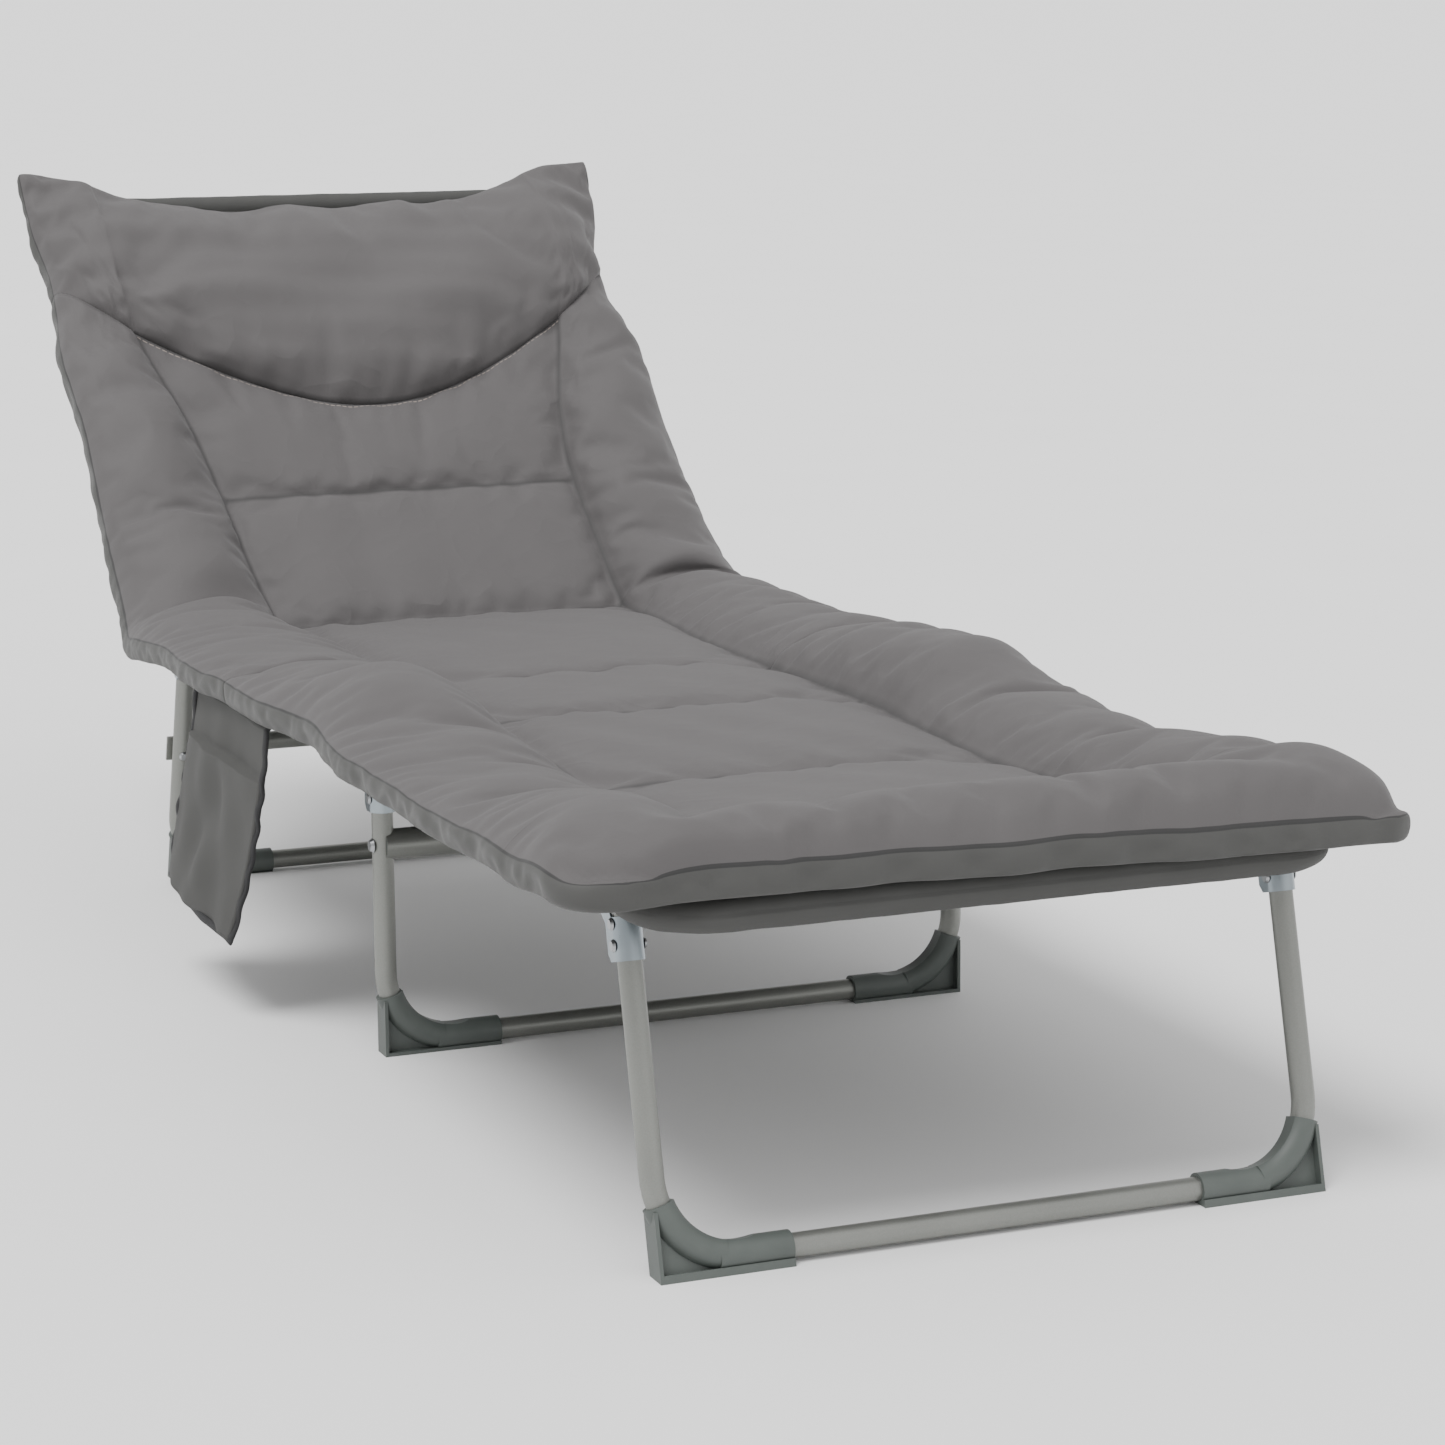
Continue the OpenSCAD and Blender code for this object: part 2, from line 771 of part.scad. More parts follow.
// Cross brace behind the rear leg: a round tube with its ends pressed flat and riveted on.
module rear_leg_brace() {
    back = -leg_offset - tube_r - flat_t;
    color("silver") rear_leg() difference() {
        translate([0, 0, -rear_brace_below]) {
            difference() {
                translate([0, back + flat_t / 2, 0]) bar_x(tube_r, 2 * half - 60);
                translate([0, back + flat_t / 2, 0]) bar_x(tube_r - tube_wall, 2 * half - 62);
            }
            for (side = [-1, 1]) {
                translate([side * half - 13, back, -flat_w / 2]) cube([26, flat_t, flat_w]);
                hull() {
                    translate([side * (half - 30.5), back + flat_t / 2, 0]) bar_x(tube_r, 1);
                    translate([side * (half - 13) - 0.5, back, -flat_w / 2])
                        cube([1, flat_t, flat_w]);
                }
            }
        }
        rear_brace_holes();
        for (side = [-1, 1]) translate([side * half, -leg_offset, -rear_brace_below])
            cylinder(r = tube_r, h = 80, center = true);
    }
}

module rear_brace_rivets() {
    grip = 2 * tube_r + flat_t;
    color("gainsboro") rear_leg()
        for (side = [-1, 1])
            translate([side * half, -leg_offset - flat_t / 2, -rear_brace_below])
                rotate([0, 0, 90]) rivet_x(rivet_r, grip);
}

// ---- Nodes ----

foot_frame();
foot_end_sleeve();
foot_sling();
foot_hinge_leaf(-1);  // foot_hinge_leaf_left
foot_hinge_leaf(1);  // foot_hinge_leaf_right
foot_leaf_rivets();
foot_pad();
leg_pivots(front_pivot);  // front_leg_pivots
seat_rail(-1);  // seat_rail_left
seat_rail(1);  // seat_rail_right
seat_sling();
foot_hinge_plate(-1);  // foot_hinge_plate_left
foot_hinge_plate(1);  // foot_hinge_plate_right
foot_hinge_pins();
recline_cheeks(-1);  // recline_cheeks_left
recline_cheeks(1);  // recline_cheeks_right
recline_pins();
recline_click_pins();
seat_rivets();
leg_pivots(middle_pivot_y);  // middle_leg_pivots
leg_pivots(rear_pivot_y);  // rear_leg_pivots
seat_pad();
side_pocket();
pocket_binding();
back_frame();
back_end_sleeve();
back_sling();
recline_arms(-1);  // recline_arms_left
recline_arms(1);  // recline_arms_right
recline_bushes();
back_rivets();
back_pad();
head_pillow();
front_leg_tube();
front_leg() leg_bracket(-1);  // front_leg_bracket_left
front_leg() leg_bracket(1);  // front_leg_bracket_right
front_leg() leg_rivets();  // front_leg_rivets
front_foot(-1);  // front_foot_left
front_foot(1);  // front_foot_right
middle_leg_tube();
middle_leg() leg_bracket(-1);  // middle_leg_bracket_left
middle_leg() leg_bracket(1);  // middle_leg_bracket_right
middle_leg() leg_rivets();  // middle_leg_rivets
middle_foot(-1);  // middle_foot_left
middle_foot(1);  // middle_foot_right
middle_leg_brace();
middle_brace_plugs();
middle_brace_screws();
rear_leg_tube();
rear_leg() leg_bracket(-1);  // rear_leg_bracket_left
rear_leg() leg_bracket(1);  // rear_leg_bracket_right
rear_leg() leg_rivets();  // rear_leg_rivets
rear_foot(-1);  // rear_foot_left
rear_foot(1);  // rear_foot_right
rear_leg_brace();
rear_brace_rivets();
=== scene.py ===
# A folding sun lounger with a quilted mattress: the looks of its pieces, around the fixed frame.
import json
import math
import bpy
import numpy as np
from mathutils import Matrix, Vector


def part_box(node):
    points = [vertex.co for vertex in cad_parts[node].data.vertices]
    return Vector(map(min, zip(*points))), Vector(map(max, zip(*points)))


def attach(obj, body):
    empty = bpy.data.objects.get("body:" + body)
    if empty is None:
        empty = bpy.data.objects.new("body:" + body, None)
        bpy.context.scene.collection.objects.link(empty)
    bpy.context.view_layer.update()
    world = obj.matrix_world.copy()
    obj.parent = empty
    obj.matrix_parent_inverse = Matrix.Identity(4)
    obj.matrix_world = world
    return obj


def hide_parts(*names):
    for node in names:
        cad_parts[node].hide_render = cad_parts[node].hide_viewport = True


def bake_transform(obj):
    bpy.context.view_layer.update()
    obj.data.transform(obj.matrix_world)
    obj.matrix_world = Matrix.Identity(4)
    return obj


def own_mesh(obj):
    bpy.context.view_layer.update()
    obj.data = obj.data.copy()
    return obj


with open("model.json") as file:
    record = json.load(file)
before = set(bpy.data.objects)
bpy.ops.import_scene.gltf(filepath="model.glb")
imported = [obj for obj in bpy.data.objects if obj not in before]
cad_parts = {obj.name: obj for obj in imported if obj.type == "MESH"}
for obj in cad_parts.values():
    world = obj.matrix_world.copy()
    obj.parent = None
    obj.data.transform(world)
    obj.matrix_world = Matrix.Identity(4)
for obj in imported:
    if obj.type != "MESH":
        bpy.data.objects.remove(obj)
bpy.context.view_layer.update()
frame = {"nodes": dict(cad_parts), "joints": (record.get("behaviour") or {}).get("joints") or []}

# ---------------------------------------------------------------------------------------------
# The steel tubes of the three sections and of the three folding legs. They are thin round
# tubes, painted a satin silver grey, a little uneven in gloss where the paint has run.


class Val:
    """A shader value: arithmetic on it adds Math nodes, and add() adds any other node."""

    def __init__(self, tree, socket=None):
        self.tree = tree
        self.socket = socket

    def add(self, kind, out=0, inputs=None, **settings):
        node = self.tree.nodes.new(kind)
        for key, value in settings.items():
            setattr(node, key, value)
        for key, value in (inputs or {}).items():
            if isinstance(value, Val):
                self.tree.links.new(value.socket, node.inputs[key])
            else:
                node.inputs[key].default_value = value
        return Val(self.tree, node.outputs[out]) if node.outputs else None

    def math(self, operation, first, second):
        return self.add("ShaderNodeMath", 0, {0: first, 1: second}, operation=operation)

    def __add__(self, other):
        return self.math("ADD", self, other)

    def __sub__(self, other):
        return self.math("SUBTRACT", self, other)

    def __mul__(self, other):
        return self.math("MULTIPLY", self, other)

    def __truediv__(self, other):
        return self.math("DIVIDE", self, other)

    def __radd__(self, other):
        return self.math("ADD", other, self)

    def __rsub__(self, other):
        return self.math("SUBTRACT", other, self)

    def __rmul__(self, other):
        return self.math("MULTIPLY", other, self)

    def __rtruediv__(self, other):
        return self.math("DIVIDE", other, self)


def noise(at, scale, detail=3.0):
    """Smooth noise from 0 to 1 at a place, that many blobs to a metre."""
    return at.add("ShaderNodeTexNoise", 0, {"Vector": at, "Scale": scale, "Detail": detail})


def mix(factor, first, second):
    """The colour between two colours."""
    ends = {0: factor, 6: first, 7: second}
    return factor.add("ShaderNodeMix", 2, ends, data_type="RGBA")


def material(name, coordinate):
    """A new node material, its first value and the places on the piece: Object or UV."""
    made = bpy.data.materials.new(name)
    made.use_nodes = True
    made.node_tree.nodes.clear()
    root = Val(made.node_tree)
    return made, root.add("ShaderNodeTexCoord", coordinate)


def surface(at, color, rough, height, depth, **more):
    """Ends a material: the colour, roughness and bumps go to one Principled shader."""
    bump = at.add("ShaderNodeBump", 0, {"Height": height, "Distance": depth})
    inputs = {"Base Color": color, "Roughness": rough, "Normal": bump}
    inputs.update({key.replace("_", " "): value for key, value in more.items()})
    shader = at.add("ShaderNodeBsdfPrincipled", 0, inputs)
    at.add("ShaderNodeOutputMaterial", 0, {"Surface": shader})


def coat(made, *names):
    """Gives CAD nodes a material."""
    for name in names:
        mesh = frame["nodes"][name].data
        mesh.materials.clear()
        mesh.materials.append(made)


silver, spot = material("satin_silver", "Object")
flakes = noise(spot, 900.0, 2.0)
runs = noise(spot, 14.0)
paint = mix(runs, (0.175, 0.18, 0.167, 1), (0.235, 0.24, 0.222, 1))
surface(spot, mix(0.5 * flakes, paint, (0.32, 0.325, 0.305, 1)), 0.34 + 0.14 * runs, flakes,
        0.00006, Metallic=0.65)
coat(silver, "foot_frame", "seat_rail_left", "seat_rail_right", "back_frame", "front_leg_tube",
     "middle_leg_tube", "middle_leg_brace", "rear_leg_tube", "rear_leg_brace")

# ---------------------------------------------------------------------------------------------
# The pressed plates of the hinges and the folded brackets of the legs. They are bright zinc,
# with the cloudy bluish spangle of the plating.

zinc, spot = material("zinc_plate", "Object")
spangle = noise(spot, 120.0, 4.0)
cloud = noise(spot, 22.0)
surface(spot, mix(cloud, (0.21, 0.25, 0.275, 1), (0.39, 0.43, 0.455, 1)), 0.22 + 0.2 * spangle,
        spangle, 0.00008, Metallic=1.0)
for side in ("_left", "_right"):
    coat(zinc, "foot_hinge_leaf" + side, "foot_hinge_plate" + side, "recline_cheeks" + side,
         "recline_arms" + side, "front_leg_bracket" + side, "middle_leg_bracket" + side,
         "rear_leg_bracket" + side)

# ---------------------------------------------------------------------------------------------
# The rivets, screws and pins. They are turned steel, with fine rings and a little wear.

steel, spot = material("rivet_steel", "Object")
wear = noise(spot, 240.0, 4.0)
surface(spot, mix(wear, (0.26, 0.27, 0.28, 1), (0.44, 0.45, 0.46, 1)), 0.22 + 0.22 * wear,
        wear, 0.00005, Metallic=1.0)
coat(steel, "foot_leaf_rivets", "front_leg_pivots", "foot_hinge_pins", "recline_pins",
     "recline_click_pins", "seat_rivets", "middle_leg_pivots", "rear_leg_pivots", "back_rivets",
     "front_leg_rivets", "middle_leg_rivets", "middle_brace_screws", "rear_leg_rivets",
     "rear_brace_rivets")

# ---------------------------------------------------------------------------------------------
# The moulded feet, the plugs of the brace tube and the bushes of the recline hinge. They are
# grey plastic with a slight green cast and the fine grain of the mould.

plastic, spot = material("foot_plastic", "Object")
grain = noise(spot, 1500.0, 2.0)
scuff = noise(spot, 45.0, 5.0)
surface(spot, mix(scuff, (0.062, 0.073, 0.067, 1), (0.092, 0.105, 0.097, 1)),
        0.42 + 0.16 * scuff, grain, 0.00012)
coat(plastic, "front_foot_left", "front_foot_right", "middle_foot_left", "middle_foot_right",
     "rear_foot_left", "rear_foot_right", "middle_brace_plugs", "recline_bushes")

# ---------------------------------------------------------------------------------------------
# The base cloths. Each section has one, stretched between its side tubes: a sleeve runs round
# each tube, and between them the cloth hangs a little, as low as the mattress presses it.

rail_low, rail_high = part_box("seat_rail_left")
tube_r = (rail_high.x - rail_low.x) / 2
rail_x = -(rail_low.x + rail_high.x) / 2
rail_z = (rail_low.z + rail_high.z) / 2
foot_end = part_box("foot_frame")[0].y + tube_r
pins = {joint["name"]: joint for joint in frame["joints"]}
recline_y, recline_z = pins["backrest_recline"]["pos_m"][1:]
lean = -math.radians(pins["backrest_recline"]["range_deg"][0])
level = rail_z - 0.006
over_pin = 0.026
corner_y = recline_y - (over_pin * math.cos(lean) - level + recline_z) / math.tan(lean)
corner_y = corner_y - over_pin * math.sin(lean)
bend = corner_y - foot_end


def path(t):
    """Where the mattress's top runs, seen from the side: level, then up the backrest.

    The two straight lines meet at t = bend, and the corner is eased into a hyperbola.
    Returns the y and z of the points and of the upward normals.
    """
    ease = np.sqrt((t - bend) ** 2 + 0.025**2)
    rise = (t - bend + ease) / 2
    run = (t - bend - ease) / 2
    turn = (1 + (t - bend) / ease) / 2
    along = 1 - turn + turn * math.cos(lean)
    up = turn * math.sin(lean)
    size = np.hypot(along, up)
    y = corner_y + run + rise * math.cos(lean)
    z = level + rise * math.sin(lean)
    return y, z, -up / size, along / size


def place(x, t, h):
    """Points at x across, t along the path and h above it."""
    y, z, ny, nz = path(t)
    return np.stack(np.broadcast_arrays(x, y + h * ny, z + h * nz), axis=-1)


def curve(t, *knots):
    """A smooth line through the knots (t, value): cubic pieces with centred slopes."""
    at, value = np.array(knots).T
    slope = np.gradient(value, at)
    k = np.clip(np.searchsorted(at, t) - 1, 0, len(at) - 2)
    span = at[k + 1] - at[k]
    e = np.clip((t - at[k]) / span, 0, 1)
    ends = value[k] * (1 - e) ** 2 * (1 + 2 * e) + value[k + 1] * e**2 * (3 - 2 * e)
    return ends + span * e * (1 - e) * (slope[k] * (1 - e) - slope[k + 1] * e)


def step(value, start, end):
    """Smooth step: 0 before start, 1 after end."""
    e = np.clip((value - start) / (end - start), 0, 1)
    return e * e * (3 - 2 * e)


def ripples(a, b, pitch_a, pitch_b, seed):
    """Irregular ripples from about -1 to 1: sine waves of scattered pitch and direction."""
    rng = np.random.default_rng(seed)
    total = 0
    for one, two, phase in zip(rng.normal(1, 0.4, 12), rng.normal(0, 0.8, 12),
                               rng.uniform(0, 7, 12)):
        total = total + np.sin(6.283 * (one * a / pitch_a + two * b / pitch_b) + phase)
    return total / 3.4


def underside(x, t):
    """Height over the path of the mattress's underside: it sinks between the side tubes,
    lies on them, and is pressed up where it crosses the hinge plates."""
    x = abs(x)
    panel = curve(t, (-0.03, 0.021), (0.06, 0.021), (0.13, 0.006), (0.20, 0.002), (0.9, 0.002),
                  (1.15, -0.003), (1.26, -0.013), (1.34, -0.034), (1.444, -0.046),
                  (1.70, -0.046), (1.76, -0.040), (1.92, -0.038))
    tube = curve(t, (-0.03, 0.021), (0.06, 0.021), (0.10, 0.018), (1.23, 0.018), (1.30, 0.018),
                 (1.325, 0.018), (1.35, -0.006), (1.37, -0.030), (1.40, -0.040), (1.92, -0.038))
    plates = step(x, 0.246, 0.258) * step(-x, -0.306, -0.294)
    plates = plates * step(t, 0.555, 0.585) * step(-t, -0.705, -0.675)
    return panel + (tube - panel) * step(x, 0.19, 0.256) + 0.041 * plates


def quads(rows, columns, wrap=False):
    """Faces of a grid of points; wrap joins the last column to the first."""
    i, j = np.meshgrid(np.arange(rows - 1), np.arange(columns - (not wrap)), indexing="ij")
    k = (j + 1) % columns
    corners = [i * columns + j, i * columns + k, (i + 1) * columns + k, (i + 1) * columns + j]
    return np.stack(corners, axis=-1).reshape(-1, 4)


def piece(name, points, faces, uv, made, **fields):
    """A mesh object with smooth faces, a metric UV map and one value per point and field."""
    points = np.asarray(points, float).reshape(-1, 3)
    mesh = bpy.data.meshes.new(name)
    mesh.from_pydata(points, [], faces.tolist())
    mesh.polygons.foreach_set("use_smooth", np.ones(len(faces), bool))
    layer = mesh.uv_layers.new(name="cloth")
    loops = np.array(uv, float).reshape(-1, 2)[faces.ravel()]
    layer.data.foreach_set("uv", loops.ravel())
    for key, value in fields.items():
        values = np.ascontiguousarray(np.ravel(value), np.float32)
        mesh.attributes.new(key, "FLOAT", "POINT").data.foreach_set("value", values)
    mesh.materials.append(made)
    obj = bpy.data.objects.new(name, mesh)
    bpy.context.scene.collection.objects.link(obj)
    return obj


def weave(at, pitch):
    """Plain weave: threads over and under each other, as bumps from 0 to 1."""
    parts = at.add("ShaderNodeSeparateXYZ", 0, {0: at})
    warp = parts.socket
    weft = parts.socket.node.outputs[1]
    over = at.math("SINE", Val(at.tree, warp) * (6.283 / pitch), 0.0)
    under = at.math("SINE", Val(at.tree, weft) * (6.283 / pitch), 0.0)
    return 0.5 + 0.5 * over * under


cloth, spot = material("base_fabric", "UV")
threads = weave(spot, 0.0009)
fade = noise(spot, 9.0, 4.0)
lint = noise(spot, 700.0, 3.0)
surface(spot, mix(0.6 * fade + 0.4 * lint, (0.038, 0.038, 0.036, 1), (0.060, 0.060, 0.057, 1)),
        0.72 + 0.1 * lint, threads + lint + 3.0 * noise(spot, 24.0, 3.0), 0.00012)


frame_bend = 0.070
head_bend_t = 1.8024


def rail_at(t):
    """Half width between the side tubes at t: they turn inwards at both ends of the bed."""
    foot = np.clip((frame_bend - t) / frame_bend, 0, 0.999)
    head = np.clip((t - head_bend_t) / frame_bend, 0, 0.999)
    return rail_x - frame_bend * (2 - np.sqrt(1 - foot**2) - np.sqrt(1 - head**2))


def base_cloth(name, start, end, drop):
    """One section's cloth. Across: round one tube from below, over the web, round the other
    tube. Along: straight, with slack folds near the ends of the web."""
    t = np.linspace(start, end, int((end - start) / 0.008) + 1)[:, None]
    turn = np.radians(np.linspace(-50, -292, 21))[None, :]
    wrap = tube_r + 0.0009
    arc_x = -rail_at(t) + wrap * np.cos(turn)
    middle = drop + wrap * np.sin(turn) + 0 * t
    inner = -rail_at(t) + wrap * math.cos(math.radians(68))
    reach = np.linspace(1, -1, 57)[None, 1:-1]
    web_x = inner * reach
    sag = underside(web_x, t) - 0.0016
    top = drop + wrap * math.sin(math.radians(68))
    near = step(abs(reach), 0.86, 1.0)
    slack = 0.0014 * ripples(web_x, t, 0.05, 0.30, 4) * step(1 - abs(reach), 0, 0.1)
    web_h = sag * (1 - near) + top * near - abs(slack)
    x = np.concatenate([arc_x, web_x, -arc_x[:, ::-1]], axis=1)
    h = np.concatenate([middle, web_h, middle[:, ::-1]], axis=1)
    points = place(x, t, h)
    gap = np.linalg.norm(np.diff(points, axis=1), axis=2)
    across = np.concatenate([0 * t, np.cumsum(gap, axis=1)], axis=1)
    uv = np.stack([across, t + 0 * across], axis=-1)
    made = piece(name, points, quads(*x.shape), uv, cloth)
    thick = made.modifiers.new("thickness", "SOLIDIFY")
    thick.thickness = 0.0010
    thick.offset = 0
    return made


seat_tube = rail_z - level
back_tube = -over_pin - (recline_z - rail_z)
for name, rests_on, start, end, drop, body, stand_in in (
        ("foot_base_cloth", "foot_frame", 0.014, 0.577, seat_tube, "foot_section", "foot_sling"),
        ("seat_base_cloth", "seat_rail_left", 0.712, 1.236, seat_tube, "seat", "seat_sling"),
        ("back_base_cloth", "back_frame", 1.404, 1.856, back_tube, "backrest", "back_sling")):
    made = base_cloth(name, start, end, drop)
    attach(made, body)
    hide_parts(stand_in)

# ---------------------------------------------------------------------------------------------
# The padded rolls. At the foot end and at the head end the base cloth is lined with foam and
# folded round the end tube and its two bends, and its ends are gathered in flat.


def sweep(name, line, side, wide, tall, made, ripple=0.0, seed=1):
    """A closed soft tube along a line: at each point an ellipse, wide along `side` and tall
    across it, drawn in at both ends, with ripples that run round it."""
    line = np.asarray(line)
    go = np.gradient(line, axis=0)
    go = go / np.linalg.norm(go, axis=1)[:, None]
    side = np.broadcast_to(np.asarray(side, float), line.shape)
    up = np.cross(go, side)
    up = up / np.linalg.norm(up, axis=1)[:, None]
    out = np.cross(up, go)
    gone = np.concatenate([[0], np.cumsum(np.linalg.norm(np.diff(line, axis=0), axis=1))])
    turn = np.linspace(0, 2 * np.pi, 29)[None, :-1]
    swell = 1 + ripple * ripples(gone[:, None], np.cos(turn) * 0.05, 0.055, 0.09, seed)
    a = wide[:, None] * np.cos(turn) * swell
    b = tall[:, None] * np.sin(turn) * swell
    points = line[:, None] + a[..., None] * out[:, None] + b[..., None] * up[:, None]
    uv = np.stack([turn * 0.014 + 0 * a, gone[:, None] + 0 * a], axis=-1)
    rows, columns = a.shape
    sides = quads(rows, columns, True)
    tips = np.concatenate([points.reshape(-1, 3), line[:1], line[-1:]])
    uv = np.concatenate([uv.reshape(-1, 2), [[0, 0]], [[0, gone[-1]]]])
    ring = np.arange(columns)
    after = (ring + 1) % columns
    first = np.stack([0 * ring + rows * columns, after, ring], axis=-1)
    last = (rows - 1) * columns
    second = np.stack([0 * ring + rows * columns + 1, last + ring, last + after], axis=-1)
    mesh = bpy.data.meshes.new(name)
    mesh.from_pydata(tips, [], sides[:, ::-1].tolist() + first[:, ::-1].tolist()
                     + second[:, ::-1].tolist())
    mesh.polygons.foreach_set("use_smooth", np.ones(len(mesh.polygons), bool))
    which = np.zeros(len(mesh.loops), int)
    mesh.loops.foreach_get("vertex_index", which)
    mesh.uv_layers.new(name="cloth").data.foreach_set("uv", uv[which].ravel())
    mesh.materials.append(made)
    obj = bpy.data.objects.new(name, mesh)
    bpy.context.scene.collection.objects.link(obj)
    return obj


roll_bend = 0.050


def end_roll(name, arms, far, sign, drop):
    """The roll round one end tube: along one side tube, round the bend, across and back. It
    turns more tightly than the tube inside it, and is wider there, like a folded bag."""
    arc = np.radians(np.linspace(0, 90, 15))
    leg = np.linspace(arms, 0.003, 8)
    x = np.concatenate([rail_x + 0 * leg, rail_x - roll_bend * (1 - np.cos(arc)),
                        np.linspace(rail_x - roll_bend, 0, 44)[1:]])
    t = np.concatenate([far - sign * (roll_bend + leg),
                        far - sign * roll_bend * (1 - np.sin(arc)), far + np.zeros(43)])
    x = np.concatenate([-x, x[::-1][1:]])
    t = np.concatenate([t, t[::-1][1:]])
    gone = np.linspace(0, 1, len(t))
    ends = np.sqrt(np.clip(1 - (abs(2 * gone - 1)) ** 90, 0.02, 1))
    corner = step(abs(x), rail_x - 0.075, rail_x - 0.02)
    ny, nz = path(t)[2:]
    line = place(x, t, drop)
    plump = 1 + 0.012 * ripples(x, gone, 0.16, 1, 6)
    ridge = np.cross(np.gradient(line, axis=0), np.stack([0 * ny, ny, nz], axis=-1))
    wide = (tube_r + 0.0042 + 0.0050 * corner) * (0.55 + 0.45 * ends)
    return sweep(name, line, ridge, wide, (tube_r + 0.0048) * plump * ends, cloth, 0.014, 3)


foot_roll = end_roll("foot_roll", 0.014, 0.0, -1, seat_tube)
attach(foot_roll, "foot_section")
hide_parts("foot_end_sleeve")
back_roll = end_roll("head_roll", 0.058, 1.8724, 1, back_tube)
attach(back_roll, "backrest")
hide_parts("back_end_sleeve")

# ---------------------------------------------------------------------------------------------
# The mattress: one quilted cover over fibre filling. A bolster runs round it, sewn off from
# the middle by two long seams; sewn channels cross the middle; a boxing strip closes the edge.

fabric, spot = material("mattress_fabric", "UV")
threads = weave(spot, 0.0008)
fade = noise(spot, 5.0, 4.0)
lint = noise(spot, 900.0, 4.0)
seam_gap = spot.add("ShaderNodeAttribute", 2, attribute_name="seam")
edge_gap = spot.add("ShaderNodeAttribute", 2, attribute_name="edge")
arc_gap = spot.add("ShaderNodeAttribute", 2, attribute_name="stitch")
top_color = mix(0.6 * fade + 0.4 * lint, (0.064, 0.0595, 0.060, 1), (0.085, 0.0795, 0.080, 1))
# Painted shade: the boxing strip and the underside are the same cloth as the top, but they get this
# darker copy of its colour for the shade they lie in.
shaded_strip_color = mix(0.6 * fade + 0.4 * lint, (0.038, 0.038, 0.036, 1), (0.060, 0.060, 0.057, 1))
cover = mix(spot.math("GREATER_THAN", edge_gap, 0.0), top_color, shaded_strip_color)
# Painted shade: within a few millimetres of each sewn seam the cover is darkened towards near
# black, for the shade in the seam's groove.
seam_groove_shade = 1 - spot.math("MINIMUM", seam_gap / 0.0045, 1.0)
cover = mix(0.75 * seam_groove_shade, cover, (0.020, 0.019, 0.019, 1))
row = spot.add("ShaderNodeSeparateXYZ", 0, {0: spot})
dash = spot.math("GREATER_THAN", spot.math("FRACT", row / 0.0062, 0.0), 0.30)
border = spot.math("LESS_THAN", spot.math("ABSOLUTE", edge_gap, 0.0), 0.0008)
cover = mix(0.85 * border, cover, (0.012, 0.012, 0.012, 1))
beside = spot.math("ABSOLUTE", arc_gap - 0.004, 0.0)
cover = mix(0.7 * spot.math("LESS_THAN", beside, 0.0007) * dash, cover, (0.30, 0.25, 0.22, 1))
crease = noise(spot, 24.0, 1.0) - 0.5
crease = 1 - 2 * spot.math("ABSOLUTE", crease, 0.0)
crease = crease * crease * crease * crease
busy = seam_gap / 0.035
busy = 0.35 + 0.65 / (1 + busy * busy)
surface(spot, cover, 0.66 + 0.12 * lint, 0.7 * threads + lint + 7.0 * crease * busy, 0.00010,
        Sheen_Weight=0.10)

# Where the sewn rows cross the bed, measured from the foot end, and the grid steps from each row
# to the next. The whole cover lies a little to the left of the frame.
seams = (0.110, 0.385, 0.645, 0.850, 1.260, 1.444)
steps = (19, 38, 36, 28, 56, 26, 24, 30)
shift = -0.008
# About how wide the half panel, the bolster, the foot border and the pillow are, and the strip.
panel_w = 0.19
bolster_w = 0.16
border_w = 0.13
pillow_w = 0.28
boxing = 0.022


def lattice(first, last):
    """The cover's grid between two seam rows: u runs across, with -1 and 1 on the long seams
    and -2 and 2 on the edges; v counts the seam rows from the foot edge, 0, to the head, 8."""
    u = np.concatenate([np.linspace(-2, -1, 23)[:-1], np.linspace(-1, 1, 55)[:-1],
                        np.linspace(1, 2, 23)])
    v = np.concatenate([np.linspace(k, k + 1, steps[k] + 1)[:-1] for k in range(first, last)]
                       + [[last]])
    wide = np.interp(abs(u), [0, 1, 2], [0, 0.75, 1])
    smile = 1.563 + np.where(abs(u) < 1, 0.109 * u**2, 0.109 + 0.075 * (abs(u) - 1))
    across = wide * np.sign(u)
    head = 1.850 + 0.046 * step(wide, 0.35, 0.97) + 0.003 * ripples(across, 0, 0.5, 1, 21)
    foot = -0.022 + 0.002 * ripples(across, 0, 0.4, 1, 22)
    rows = np.stack([foot] + [s + 0 * u for s in seams] + [smile, head])
    k = np.minimum(v.astype(int), 7)
    e = (v - k)[:, None]
    t = rows[k] * (1 - e) + rows[k + 1] * e
    half = curve(t, (-0.03, 0.352), (0.3, 0.352), (1.1, 0.350), (1.25, 0.340), (1.40, 0.327),
                 (1.62, 0.325), (1.775, 0.317), (1.82, 0.325), (1.90, 0.328))
    half = half + 0.0018 * ripples(t, np.sign(u), 0.28, 2, 23)
    left = -half + shift + 0.014 * np.exp(-((t - 0.65) / 0.10) ** 2)
    right = half + shift - 0.006 * np.exp(-((t - 0.62) / 0.08) ** 2)
    near = np.clip((0.050 - (t - foot)) / 0.050, 0, 1)
    left = left + 0.050 * (1 - np.sqrt(1 - near**2))
    near = np.clip((0.020 - (t - foot)) / 0.020, 0, 1)
    right = right - 0.020 * (1 - np.sqrt(1 - near**2))
    inner = curve(t, (-0.03, 0.190), (1.3, 0.190), (1.537, 0.207), (1.672, 0.241), (1.9, 0.25))
    lean_left = shift * step(t, 1.2, 1.5) * 1.5
    knots = [left, -inner + lean_left, inner + lean_left, right]
    hats = [np.interp(u, [-2, -1, 1, 2], row) for row in np.eye(4)]
    x = sum(knot * hat for knot, hat in zip(knots, hats))
    return u[None, :] + 0 * t, v[:, None] + 0 * t, x, t, smile + 0 * t


